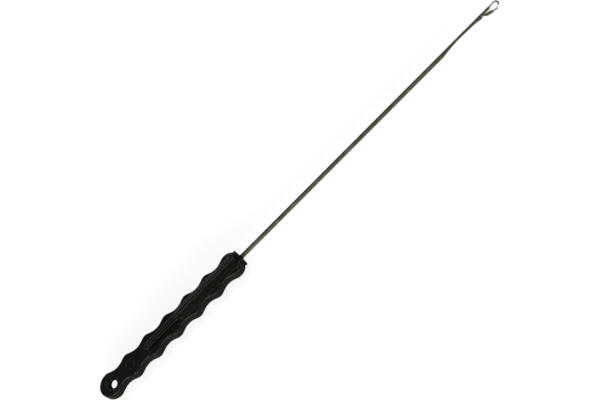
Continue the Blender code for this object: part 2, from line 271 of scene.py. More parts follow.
HOLE_X, WAIST_X, WAIST_Y = -115.4, 2.48, 3.22     # hang hole and its half widths
LAND, FLARE, FLARE_POWER = 0.8, 1.85, 1.15        # straight half depth, then the flare
DISC_X, DISC_R, DISC_DEEP = -98.4, 3.4, 0.13      # round recess in the upper flat
BORE_R, BORE_END = 1.55, -82.2


def wave(x):
    """Half width of the wavy outline and its first two slopes."""
    rate = np.full_like(x, math.tau / PITCH)
    turn = rate * (x - FIRST)
    tail = x < LAST
    tail_rate = math.pi / (LAST - END)
    turn = np.where(tail, -math.tau * (LOBES - 1.5) - tail_rate * (LAST - x), turn)
    rate = np.where(tail, tail_rate, rate)
    half = MEAN + AMP * np.cos(turn) + PEAK * np.cos(2 * turn)
    slope = -rate * (AMP * np.sin(turn) + 2 * PEAK * np.sin(2 * turn))
    bend = -rate * rate * (AMP * np.cos(turn) + 4 * PEAK * np.cos(2 * turn))
    return half, slope, bend


def outline_distance(x, y):
    """Signed distance to the grip's plan outline."""
    side = np.abs(y)
    along = np.clip(x, END, FIRST)
    half, slope, _ = wave(along)
    body = (side - half) / np.sqrt(1 + slope * slope)
    # close to the outline, look for the nearest point of the wave
    near = np.abs(side - half) < 2.2
    x_near, y_near = along[near], side[near]
    foot = x_near
    for _ in range(4):
        half_at, slope_at, bend_at = wave(foot)
        error = (foot - x_near) + (half_at - y_near) * slope_at
        rate = np.maximum(1 + slope_at * slope_at + (half_at - y_near) * bend_at, 0.4)
        foot = np.clip(foot - error / rate, END, FIRST)
    gap = np.hypot(foot - x_near, wave(foot)[0] - y_near)
    body[near] = gap * np.sign(y_near - half[near])
    rear = np.hypot(x - END, y) - LOBE_HALF
    # blunt nose: slightly fuller than an ellipse
    ahead = np.maximum(x - FIRST, 0) / NOSE + 1e-6
    across = side / LOBE_HALF + 1e-6
    power = NOSE_POWER
    level = (ahead ** power + across ** power) ** (1 / power)
    steep = level ** (1 - power) * np.hypot(ahead ** (power - 1) / NOSE,
                                            across ** (power - 1) / LOBE_HALF)
    front = (level - 1) / np.maximum(steep, 0.02)
    return np.where(x < END, rear, np.where(x > FIRST, front, body))


def slab_field(x, y, z):
    plan = outline_distance(x, y)
    plan = plan + PARTING_H - PARTING_H * np.exp(-(z / PARTING_W) ** 2)
    plan = plan + BULGE * (z / HALF_T) ** 2
    slab = rounded_slab(plan, np.abs(z) - HALF_T, EDGE)
    return smooth_max(slab, x - FRONT, width=0.25)


def boss_field(x, y, z):
    """Round bar with a ball at its front end, narrowed to a rib and ramped off
    at the rear."""
    side, height = np.abs(y), np.abs(z)
    ball = np.sqrt(((x - FIRST) / BALL_STRETCH) ** 2 + y * y + z * z) - BOSS_R
    bar = np.where(x > FIRST, ball, np.hypot(y, z) - BOSS_R)
    crest = (np.clip((x - CREST_REAR) / CREST_FADE_REAR, 0, 1)
             * np.clip((CREST_FRONT - x) / CREST_FADE_FRONT, 0, 1))
    bar = bar + CREST_DEEP * crest * np.exp(-(y / CREST_W) ** 2)
    run = (BOSS_R - HALF_T) / (RIB_TOP - RIB_FOOT)
    ramp = (height - BOSS_R - (x - RIB_TOP) * run) / math.hypot(1, run)
    bar = smooth_max(bar, ramp, width=0.9)
    # plan shape: shoulder, rib and rounded tail
    widen, length = SHOULDER_HALF - RIB_HALF, SHOULDER_FOOT - SHOULDER_TOP
    shoulder = side - RIB_HALF - (x - SHOULDER_TOP) * widen / length
    shoulder = shoulder / math.hypot(1, widen / length)
    trim = smooth_min(side - RIB_HALF, shoulder, width=0.5)
    tail = np.hypot(np.minimum(x - RIB_TAIL, 0) * 0.95, y) - RIB_HALF
    trim = np.where(x < RIB_TAIL, tail, trim)
    return smooth_max(bar, trim, width=0.18)


def grip_field(points):
    x, y, z = points.T
    height = np.abs(z)
    slab, boss = slab_field(x, y, z), boss_field(x, y, z)
    body = smooth_min(slab, boss, width=0.7)
    wide = smooth_max(smooth_min(slab, boss, width=2.4), x - FRONT, width=0.25)
    body = body + np.clip((x - FILLET_START) / FILLET_RUN, 0, 1) * (wide - body)
    # hang hole
    depth = np.maximum(height - LAND, 0) / (HALF_T - LAND)
    hole = (np.hypot(x - HOLE_X, y * WAIST_X / WAIST_Y)
            - (WAIST_X + FLARE * depth ** FLARE_POWER))
    body = smooth_max(body, -hole * 0.9, width=0.55)
    recess = np.maximum(np.hypot(x - DISC_X, y) - DISC_R, HALF_T - DISC_DEEP - z)
    body = smooth_max(body, -recess, width=0.16)
    bore = np.maximum(np.hypot(y, z) - BORE_R, BORE_END - x)
    return np.maximum(body, -bore)


def make_grip():
    cell = 0.28
    thin = 0.07           # across the fine raised and cut lines
    margin = 0.7
    grids = (
        grid(END - LOBE_HALF - margin, FRONT + margin, cell),
        bands((0.5, thin), (2.3, cell * 0.5), (5.8, cell), (LOBE_HALF + margin, cell * 0.6)),
        bands((0.3, thin), (2.2, cell), (3.8, cell * 0.5), (BOSS_R + margin, cell * 0.6)))
    return distance_object("grip_moulding", grip_field, grids, TOOL)


grip = install(make_grip(), "grip")


# ---------------------------------------------------------------------- turned
def lathe(name, profile, steps, world, axis='X'):
    """Closed ring of (station, radius) turned about the axis; a radius of zero
    closes onto the axis."""
    verts, faces, rings = [], [], []
    for station, radius in profile:
        if radius < 1e-6:
            rings.append([len(verts)])
            verts.append((station, 0.0, 0.0))
        else:
            rings.append(list(range(len(verts), len(verts) + steps)))
            for k in range(steps):
                angle = math.tau * k / steps
                verts.append((station, radius * math.cos(angle), radius * math.sin(angle)))
    pairs = list(zip(rings, rings[1:]))
    if profile[0][1] > 1e-6 and profile[-1][1] > 1e-6:
        pairs.append((rings[-1], rings[0]))
    for this, that in pairs:
        for k in range(steps):
            after = (k + 1) % steps
            if len(this) == 1:
                faces.append((this[0], that[after], that[k]))
            elif len(that) == 1:
                faces.append((this[k], this[after], that[0]))
            else:
                faces.append((this[k], this[after], that[after], that[k]))
    if axis == 'Z':
        verts = [(-z, y, x) for x, y, z in verts]
    obj = mesh_object(name, verts, faces, world)
    bm = bmesh.new()
    bm.from_mesh(obj.data)
    bmesh.ops.recalc_face_normals(bm, faces=bm.faces)
    bm.to_mesh(obj.data)
    bm.free()
    return obj


def rounded(points, radius, steps=5):
    """Round every corner of a closed (station, radius) ring."""
    out = []
    for i in range(len(points)):
        before, corner, after = (np.array(points[(i + k) % len(points)], float)
                                 for k in (-1, 0, 1))
        back, ahead = before - corner, after - corner
        back_length, ahead_length = np.linalg.norm(back), np.linalg.norm(ahead)
        cut = min(radius, back_length * 0.45, ahead_length * 0.45)
        start = corner + back / back_length * cut
        end = corner + ahead / ahead_length * cut
        for k in range(steps + 1):
            t = k / steps
            out.append(tuple((1 - t) ** 2 * start + 2 * t * (1 - t) * corner + t * t * end))
    return out


# station, radius
WASHER_PROFILE = [(1.0, BORE_R), (1.0, 1.66), (0.45, 1.80), (0.0, 2.02), (0.0, 6.15),
                  (-1.3, 6.15), (-1.3, BORE_R)]
washer = install(lathe("mouth_washer_turned", rounded(WASHER_PROFILE, 0.22), 96, TOOL),
                 "mouth_washer")


# ------------------------------------------------------------- rod and hook end
ROD_R, ROD_SIDES = 1.5, 64
TANG_END, TANG_CHAMFER = -81.9, 0.35
SPLIT = 181.6                      # plain round rod before this, worked end after it
SHANK_END = 218.3                  # the full round section stops here
CHEEK, SLOT_HALF = 1.12, 0.45      # half thickness at the rivet seats, and of the slot
SEAT_R, RIVET_R, PIN_R = 0.72, 0.42, 0.47    # seat, rivet, and the hole it passes

# arm of the hook, level with the rod on its +Y side: x, y of its lower edge
HOOK_ARM = [(217.2, -1.5), (218.3, -1.45), (219.05, -1.26), (219.8, -0.88), (220.9, -0.80),
            (222.2, -0.68), (223.6, -0.60), (226.2, -0.52), (227.3, -0.30), (228.4, 0.0),
            (229.8, 0.20)]
# bend and point of the hook: x, y, radius
HOOK_BEND = [(231.2, 0.92, 0.58), (232.15, 0.80, 0.56), (232.95, 0.30, 0.56),
             (233.35, -0.30, 0.58), (233.44, -0.85, 0.59), (233.40, -1.40, 0.57),
             (233.08, -1.93, 0.48), (232.40, -2.22, 0.37), (231.60, -2.36, 0.30),
             (230.95, -2.47, 0.24), (230.72, -2.50, 0.14)]
# lower edge left by the long scoop on the -Y side: x, y
SCOOP = [(182.6, -1.90), (183.4, -1.62), (185.6, -1.24), (188.4, -0.88), (191.5, -0.60),
         (195.0, -0.36), (199.0, -0.25), (203.5, -0.29), (207.0, -0.42), (210.5, -0.58),
         (213.5, -0.75), (215.8, -1.00), (217.1, -1.22), (218.3, -1.45), (218.7, -1.62),
         (219.3, -1.95)]
# latch slot, seen square to the hook plane: x, y of its corners
SLOT_REAR, SLOT_REAR_TOP = (208.9, -0.75), (213.2, 0.93)
SLOT_FRONT_TOP, SLOT_FRONT = (222.6, 0.93), (225.8, -0.55)


def between(t, start, end, first, second):
    return (end - t) / (end - start) * first + (t - start) / (end - start) * second


def through(points, step):
    """Smooth curve through the points, as closely spaced points."""
    table = np.array(points, float)
    table = np.vstack([2 * table[0] - table[1], table, 2 * table[-1] - table[-2]])
    out = []
    for i in range(1, len(table) - 2):
        four = table[i - 1:i + 3]
        gaps = [np.linalg.norm((four[k + 1] - four[k])[:2]) for k in range(3)]
        knots = [0.0]
        for gap in gaps:
            knots.append(knots[-1] + max(gap, 1e-6) ** 0.5)
        count = max(2, int(gaps[1] / step))
        for t in np.linspace(knots[1], knots[2], count, endpoint=False):
            lines = [between(t, knots[k], knots[k + 1], four[k], four[k + 1])
                     for k in range(3)]
            arcs = [between(t, knots[k], knots[k + 2], lines[k], lines[k + 1])
                    for k in range(2)]
            out.append(between(t, knots[1], knots[2], *arcs))
    out.append(table[-2])
    return np.array(out)


hook = through([(x, (ROD_R + low) / 2, (ROD_R - low) / 2) for x, low in HOOK_ARM] + HOOK_BEND,
               0.22)
scoop = through(SCOOP, 0.25)
scoop_slope = np.gradient(scoop[:, 1], scoop[:, 0])


def hook_distance(points):
    """Distance to the tapered rod along the hook curve, near that curve only."""
    best = np.full(len(points), 1e3)
    order = np.argsort(points[:, 0], kind='stable')
    xs = points[order, 0]
    margin = 2.4
    for start, end in zip(hook[:-1], hook[1:]):
        low, high = min(start[0], end[0]) - margin, max(start[0], end[0]) + margin
        i, j = np.searchsorted(xs, (low, high))
        if i == j:
            continue
        near = order[i:j]
        local = points[near]
        span = end[:2] - start[:2]
        t = np.clip(((local[:, :2] - start[:2]) @ span) / (span @ span), 0, 1)
        centre = start[:2] + t[:, None] * span
        gap = np.sqrt(((local[:, :2] - centre) ** 2).sum(1) + local[:, 2] ** 2)
        best[near] = np.minimum(best[near], gap - (start[2] + t * (end[2] - start[2])))
    return best


def above_line(x, y, start, end):
    """Height of (x, y) above the line from start to end."""
    heading = np.array(end) - np.array(start)
    heading = heading / np.linalg.norm(heading)
    return -(x - start[0]) * heading[1] + (y - start[1]) * heading[0]


def end_field(points):
    x, y, z = points.T
    height = np.abs(z)
    round_rod = np.maximum(np.hypot(y, z) - ROD_R, x - SHANK_END)
    body = smooth_min(round_rod, hook_distance(points), width=0.10)
    # scoop ground along the side the hook opens to; far below the rod elsewhere
    low = np.interp(x, scoop[:, 0], scoop[:, 1], left=-9, right=-9)
    slope = np.interp(x, scoop[:, 0], scoop_slope, left=0, right=0)
    cut = (low - y) / np.sqrt(1 + slope ** 2)
    cut = cut + 0.012 * ripple(points * np.array([0.25, 1, 1]), scale=1.1, seed=3)
    body = smooth_max(body, cut, width=0.16)
    # slot for the latch
    slot = height - SLOT_HALF
    for wall in (y - SLOT_REAR_TOP[1], SLOT_REAR[0] - x, x - SLOT_FRONT[0],
                 above_line(x, y, SLOT_REAR, SLOT_REAR_TOP),
                 above_line(x, y, SLOT_FRONT_TOP, SLOT_FRONT)):
        slot = smooth_max(slot, wall, width=0.12)
    body = smooth_max(body, -slot, width=0.10)
    # rivet seats and hole
    radius = np.hypot(x - PIVOT, y)
    seat = np.maximum(radius - SEAT_R, CHEEK - height)
    body = smooth_max(body, -seat, width=0.06)
    body = np.maximum(body, -(radius - PIN_R))
    # hand-worked steel is never quite even
    fade = np.clip((x - 183.5) / 4.0, 0, 1)
    return body + 0.010 * fade * ripple(points * np.array([0.45, 1, 1]), scale=1.3, seed=8)


def open_rim(quads):
    """Numbers of the vertices on the open edge of the mesh."""
    uses = {}
    for quad in quads:
        for k in range(4):
            ends = (int(quad[k]), int(quad[(k + 1) % 4]))
            key = (min(ends), max(ends))
            uses[key] = uses.get(key, 0) + 1
    return np.array(sorted({vert for ends, count in uses.items() if count == 1
                            for vert in ends}))


def worked_end():
    """Hook end, open where its grid starts, with a rim squared up to the rod."""
    step = 0.086
    verts, quads = net(end_field, grid(SPLIT, 234.6, step), grid(-3.1, 1.9, step),
                       grid(-1.8, 1.8, step))
    rim = open_rim(quads)
    fixed = np.zeros(len(verts), bool)
    fixed[rim] = True
    verts = finish_skin(end_field, verts, quads, step, share=0.5, fixed=fixed)
    verts[rim, 0] = verts[rim, 0].mean()
    radius = np.hypot(verts[rim, 1], verts[rim, 2])
    verts[rim, 1] *= ROD_R / radius
    verts[rim, 2] *= ROD_R / radius
    return verts, quads


def make_rod():
    obj = mesh_object("rod_drawn", *worked_end(), Matrix.Identity(4))
    bm = bmesh.new()
    bm.from_mesh(obj.data)
    open_edges = [edge for edge in bm.edges if edge.is_boundary]
    # plain rod, from the worked end back to the chamfered tang
    stations = [SPLIT - 0.5, *np.linspace(178, 2, 60), -6.0, -40.0, TANG_END + TANG_CHAMFER]
    sections = [(x, ROD_R) for x in stations] + [(TANG_END, ROD_R - TANG_CHAMFER)]
    angles = [math.tau * k / ROD_SIDES for k in range(ROD_SIDES)]
    rings = [[bm.verts.new((x, radius * math.cos(angle), radius * math.sin(angle)))
              for angle in angles] for x, radius in sections]
    following = [(k + 1) % ROD_SIDES for k in range(ROD_SIDES)]
    loop = [bm.edges.new((rings[0][k], rings[0][j])) for k, j in enumerate(following)]
    for this, that in zip(rings, rings[1:]):
        for k, j in enumerate(following):
            bm.faces.new((this[k], this[j], that[j], that[k]))
    bm.faces.new(rings[-1])
    bmesh.ops.bridge_loops(bm, edges=open_edges + loop)
    bmesh.ops.recalc_face_normals(bm, faces=bm.faces)
    bm.to_mesh(obj.data)
    bm.free()
    obj.data.transform(HEAD)
    obj.data.shade_smooth()
    return obj


rod = install(make_rod(), "rod")

# peened rivet head, from its crown down to the pin: height above PEEN, radius
PEEN = CHEEK + 0.02
PEENED_HEAD = [(0.215, 0.0), (0.212, 0.16), (0.20, 0.32), (0.17, 0.45), (0.125, 0.56),
               (0.075, 0.63), (0.03, 0.655), (0.0, 0.64), (0.0, 0.50), (-0.02, RIVET_R)]
half_rivet = [(PEEN + rise, radius) for rise, radius in PEENED_HEAD]
rivet_profile = half_rivet + [(-z, radius) for z, radius in reversed(half_rivet)]
rivet = install(lathe("latch_rivet_peened", rivet_profile, 48, HINGE, axis='Z'),
                "latch_rivet")

# ----------------------------------------------------------------------- latch
# its own axes: origin on the hinge, X along the blade to the spoon at its tip
LATCH_SLOPE = math.radians(-16.15)
LATCH_T, SPOON_T = 0.38, 0.72      # half thickness of blade and spoon
LATCH_EDGE, SPOON_EDGE = 0.09, 0.20          # edge radii
HUB_R = 0.80
SPOON_START, SPOON_WIDEN = 9.2, 1.6          # spoon widens over this length
TIP_START, TIP_RUN, TIP_THIN = 11.5, 0.85, 0.26
CUP_X, CUP_Y, CUP_R, CUP_HALF = 11.2, 1.68, 1.6, 0.55       # round cut across the spoon
DISH_X, DISH_Y = 11.15, 0.42                 # hollow in the spoon's +Y side
DISH_LONG, DISH_DEEP, DISH_WIDE = 1.25, 0.42, 0.52

hub_angles = [math.radians(60 + 240 * k / 12) for k in range(13)]
# outlines in plan: x, y
LATCH_OUTLINE = [(HUB_R * math.cos(angle), HUB_R * math.sin(angle)) for angle in hub_angles] + [
    (1.9, -0.70), (2.4, -0.98), (2.9, -1.34), (3.5, -1.54), (4.4, -1.62), (5.4, -1.64),
    (6.4, -1.62), (7.3, -1.54), (8.0, -1.42), (8.7, -1.22), (9.5, -1.08), (10.4, -1.02),
    (11.2, -0.98), (11.8, -0.86), (12.15, -0.60), (12.3, -0.28), (12.25, 0.05),
    (12.05, 0.25), (11.6, 0.30), (10.9, 0.25), (10.2, 0.24), (9.4, 0.24), (8.8, 0.27),
    (8.2, 0.37), (7.5, 0.51), (6.8, 0.60), (6.1, 0.58), (5.3, 0.48), (4.5, 0.42),
    (3.6, 0.40), (2.6, 0.42), (1.6, 0.55)]
SPOON_OUTLINE = [
    (9.35, -1.00), (10.4, -0.99), (11.2, -0.95), (11.8, -0.82), (12.1, -0.58),
    (12.24, -0.24), (12.19, 0.04), (12.02, 0.22), (11.6, 0.27), (10.9, 0.22),
    (10.2, 0.21), (9.5, 0.16)]


def closed_through(points, step):
    """One turn of the smooth closed curve through the points."""
    loop = through(points[-2:] + points + points[:2], step)
    gap = np.hypot(loop[:, 0] - points[0][0], loop[:, 1] - points[0][1])
    half = len(loop) // 2
    start = np.argmin(gap[:len(loop) // 3])
    end = half + np.argmin(gap[half:])
    return loop[start:end]


def polygon_distance(x, y, polygon):
    nearest = np.full(len(x), 1e9)             # squared
    inside = np.zeros(len(x), bool)
    for (x0, y0), (x1, y1) in zip(polygon, np.roll(polygon, -1, axis=0)):
        run, rise = x1 - x0, y1 - y0
        length2 = run * run + rise * rise
        if length2 < 1e-12:
            continue
        t = np.clip(((x - x0) * run + (y - y0) * rise) / length2, 0, 1)
        nearest = np.minimum(nearest, (x - x0 - run * t) ** 2 + (y - y0 - rise * t) ** 2)
        if abs(rise) > 1e-12:
            inside ^= ((y0 > y) != (y1 > y)) & (x < x0 + (y - y0) * run / rise)
    return np.where(inside, -1, 1) * np.sqrt(nearest)


latch_curve = closed_through(LATCH_OUTLINE, 0.2)
spoon_curve = closed_through(SPOON_OUTLINE, 0.2)


def latch_field(points):
    x, y, z = points.T
    height = np.abs(z)
    blade = rounded_slab(polygon_distance(x, y, latch_curve), height - LATCH_T, LATCH_EDGE)
    # the spoon is narrow where it leaves the blade, wide further on, thinner at its tip
    widen = np.clip((x - SPOON_START) / SPOON_WIDEN, 0, 1)
    half = LATCH_T + (SPOON_T - LATCH_T) * widen * widen * (3 - 2 * widen)
    tip = np.clip((x - TIP_START) / TIP_RUN, 0, 1)
    half = half - TIP_THIN * tip * tip
    spoon = rounded_slab(polygon_distance(x, y, spoon_curve), height - half, SPOON_EDGE)
    body = smooth_min(blade, spoon, width=0.18)
    cup = np.maximum(np.hypot(x - CUP_X, y - CUP_Y) - CUP_R, height - CUP_HALF)
    dish = np.sqrt(((x - DISH_X) / DISH_LONG) ** 2 + ((y - DISH_Y) / DISH_DEEP) ** 2
                   + (z / DISH_WIDE) ** 2)
    hollow = smooth_min(cup + 0.04, (dish - 1) * DISH_DEEP, width=0.1)
    body = smooth_max(body, -hollow, width=0.10)
    body = np.maximum(body, -(np.hypot(x, y) - PIN_R))
    return body + 0.008 * ripple(points, scale=1.0, seed=21)


def make_latch():
    step = 0.06
    grids = grid(-1.1, 12.6, step), grid(-1.8, 1.1, step), grid(-1.0, 1.0, step)
    return distance_object("latch_blade", latch_field, grids,
                           HINGE @ Matrix.Rotation(LATCH_SLOPE, 4, 'Z'))


latch = install(make_latch(), "latch", link="latch")


# ------------------------------------------------------------------- materials
class Nodes:
    """Small helper for building a node tree from top to bottom."""

    def __init__(self, name):
        self.mat = bpy.data.materials.new(name)
        self.mat.use_nodes = True
        self.tree = self.mat.node_tree
        self.tree.nodes.clear()
        self.out = self.add('ShaderNodeOutputMaterial')

    def add(self, kind, **values):
        node = self.tree.nodes.new(kind)
        for key, value in values.items():
            setattr(node, key, value)
        return node

    def link(self, source, target):
        self.tree.links.new(source, target)

    def coords(self, scale=(1, 1, 1), turn=(0, 0, 0), shift=(0, 0, 0)):
        source = self.add('ShaderNodeTexCoord')
        mapping = self.add('ShaderNodeMapping')
        mapping.inputs['Scale'].default_value = scale
        mapping.inputs['Rotation'].default_value = turn
        mapping.inputs['Location'].default_value = shift
        self.link(source.outputs['Object'], mapping.inputs['Vector'])
        return mapping.outputs['Vector']

    def noise(self, vector, per_mm, detail=4.0, rough=0.55, distort=0.0):
        node = self.add('ShaderNodeTexNoise')
        self.link(vector, node.inputs['Vector'])
        node.inputs['Scale'].default_value = per_mm * PER_MM
        node.inputs['Detail'].default_value = detail
        node.inputs['Roughness'].default_value = rough
        node.inputs['Distortion'].default_value = distort
        return node.outputs['Fac']

    def voronoi(self, vector, per_mm):
        node = self.add('ShaderNodeTexVoronoi')
        self.link(vector, node.inputs['Vector'])
        node.inputs['Scale'].default_value = per_mm * PER_MM
        return node.outputs['Distance']

    def ramp(self, value, stops):
        node = self.add('ShaderNodeValToRGB')
        elements = node.color_ramp.elements
        elements.remove(elements[-1])
        for i, (position, colour) in enumerate(stops):
            element = elements.new(position) if i else elements[0]
            element.position = position
            element.color = (*colour, 1.0)
        self.link(value, node.inputs['Fac'])
        return node.outputs['Color']

    def math(self, operation, first, second=0.0, clamp=False):
        node = self.add('ShaderNodeMath', operation=operation, use_clamp=clamp)
        self.link(first, node.inputs[0])
        if isinstance(second, (int, float)):
            node.inputs[1].default_value = second
        else:
            self.link(second, node.inputs[1])
        return node.outputs['Value']

    def times(self, value, factor):
        return self.math('MULTIPLY', value, factor)

    def plus(self, value, extra, factor, clamp=False):
        """value + extra * factor"""
        return self.math('ADD', value, self.times(extra, factor), clamp)

    def span(self, value, over, to=(0.0, 1.0), smooth=False):
        """Map the range over onto the range to, clamped."""
        node = self.add('ShaderNodeMapRange')
        if smooth:
            node.interpolation_type = 'SMOOTHSTEP'
        self.link(value, node.inputs['Value'])
        node.inputs['From Min'].default_value = over[0]
        node.inputs['From Max'].default_value = over[1]
        node.inputs['To Min'].default_value = to[0]
        node.inputs['To Max'].default_value = to[1]
        return node.outputs['Result']

    def mix(self, base, toward, share, factor=None):
        """Base moved to the colour toward by share, times factor if given."""
        if factor is not None:
            share = self.times(share, factor)
        node = self.add('ShaderNodeMix', data_type='RGBA')
        self.link(share, node.inputs['Factor'])
        self.link(base, node.inputs[6])
        node.inputs[7].default_value = (*toward, 1.0)
        return node.outputs[2]

    def bump(self, height, distance, strength, normal=None):
        node = self.add('ShaderNodeBump')
        node.inputs['Strength'].default_value = strength
        node.inputs['Distance'].default_value = distance
        self.link(height, node.inputs['Height'])
        if normal is not None:
            self.link(normal, node.inputs['Normal'])
        return node.outputs['Normal']

    def split(self, vector):
        node = self.add('ShaderNodeSeparateXYZ')
        self.link(vector, node.inputs['Vector'])
        return node.outputs

    def worn_edges(self, over):
        """1 on convex edges, 0 elsewhere."""
        geometry = self.add('ShaderNodeNewGeometry')
        return self.span(geometry.outputs['Pointiness'], over, smooth=True)

    def finish(self, colour, rough, metallic, normal, **more):
        """Principled surface; more holds its other inputs, with _ for a space."""
        node = self.add('ShaderNodeBsdfPrincipled')
        self.link(colour, node.inputs['Base Color'])
        self.link(rough, node.inputs['Roughness'])
        node.inputs['Metallic'].default_value = metallic
        self.link(normal, node.inputs['Normal'])
        for key, value in more.items():
            node.inputs[key.replace('_', ' ')].default_value = value
        self.link(node.outputs['BSDF'], self.out.inputs['Surface'])
        return self.mat


def shade(colour, factor):
    return tuple(channel * factor for channel in colour)


def vinyl_material():
    tree = Nodes("grip_vinyl")
    here = tree.coords()
    broad = tree.noise(here, per_mm=0.055, detail=3, rough=0.5)
    blotch = tree.noise(here, per_mm=0.30, detail=5, rough=0.6, distort=0.4)
    skin = tree.noise(here, per_mm=1.5, rough=0.6)
    grain = tree.voronoi(here, per_mm=5.0)
    # near black, its green cast coming and going
    colour = tree.ramp(broad, [(0.30, (0.0080, 0.0125, 0.0075)),
                               (0.52, (0.0115, 0.0130, 0.0078)),
                               (0.72, (0.0088, 0.0155, 0.0098))])
    colour = tree.mix(colour, toward=(0.0150, 0.0158, 0.0110),
                      share=tree.span(blotch, over=(0.45, 0.75)))
    # dust: sparse pale specks
    specks = tree.voronoi(tree.coords(shift=(0.013, 0.004, 0.021)), per_mm=0.45)
    dust = tree.times(tree.span(specks, over=(0.045, 0.015)),
                      tree.span(tree.noise(here, per_mm=0.2), over=(0.52, 0.62)))
    colour = tree.mix(colour, toward=(0.10, 0.10, 0.085), share=dust, factor=0.5)
    # rub marks on the raised edges
    wear = tree.times(tree.worn_edges(over=(0.53, 0.60)), tree.span(blotch, over=(0.42, 0.60)))
    colour = tree.mix(colour, toward=(0.030, 0.032, 0.025), share=wear, factor=0.35)
    # hairline scratches in two directions
    hair_long = tree.noise(tree.coords(scale=(0.08, 2.2, 2.2), turn=(0, 0, 0.35)),
                           per_mm=1.6, detail=2, rough=0.5)
    hair_cross = tree.noise(
        tree.coords(scale=(2.2, 0.10, 2.2), turn=(0, 0, -0.30), shift=(0.3, 0.1, 0)),
        per_mm=1.3, detail=2, rough=0.5)
    hairs = tree.math('MAXIMUM', tree.span(hair_long, over=(0.68, 0.72)),
                      tree.span(hair_cross, over=(0.69, 0.73)))
    rough = tree.span(blotch, over=(0.3, 0.7), to=(0.09, 0.15))
    rough = tree.plus(rough, hairs, factor=0.14)
    rough = tree.plus(rough, dust, factor=0.25, clamp=True)
    normal = tree.bump(skin, distance=1e-5, strength=0.4)
    normal = tree.bump(grain, distance=6e-6, strength=0.6, normal=normal)
    normal = tree.bump(blotch, distance=3e-5, strength=0.3, normal=normal)
    normal = tree.bump(tree.times(hairs, factor=-1.0), distance=4e-6, strength=0.5,
                       normal=normal)
    return tree.finish(colour, rough, metallic=0.0, normal=normal, IOR=1.50,
                       Specular_IOR_Level=0.35, Specular_Tint=(0.86, 1.0, 0.86, 1.0))


def washer_material():
    tree = Nodes("washer_black")
    here = tree.coords()
    blotch = tree.noise(here, per_mm=0.6, detail=5, rough=0.6)
    # turning rings about the rod axis
    place = tree.split(tree.coords(shift=(0, 0, -AXIS_Z)))
    radius = tree.math('SQRT', tree.math('ADD', tree.math('POWER', place['Y'], 2),
                                         tree.math('POWER', place['Z'], 2)))
    rings = tree.math('SINE', tree.times(radius, factor=22.0 * PER_MM))
    colour = tree.ramp(blotch, [(0.35, (0.0055, 0.0065, 0.0052)),
                                (0.70, (0.0110, 0.0115, 0.0090))])
    wear = tree.worn_edges(over=(0.54, 0.62))
    colour = tree.mix(colour, toward=(0.030, 0.030, 0.025), share=wear, factor=0.4)
    rough = tree.span(blotch, over=(0.3, 0.7), to=(0.38, 0.55))
    normal = tree.bump(blotch, distance=4e-5, strength=0.5)
    normal = tree.bump(rings, distance=4e-6, strength=0.4, normal=normal)
    return tree.finish(colour, rough, metallic=0.0, normal=normal, IOR=1.5,
                       Specular_IOR_Level=0.16, Specular_Tint=(0.95, 1.0, 0.85, 1.0))


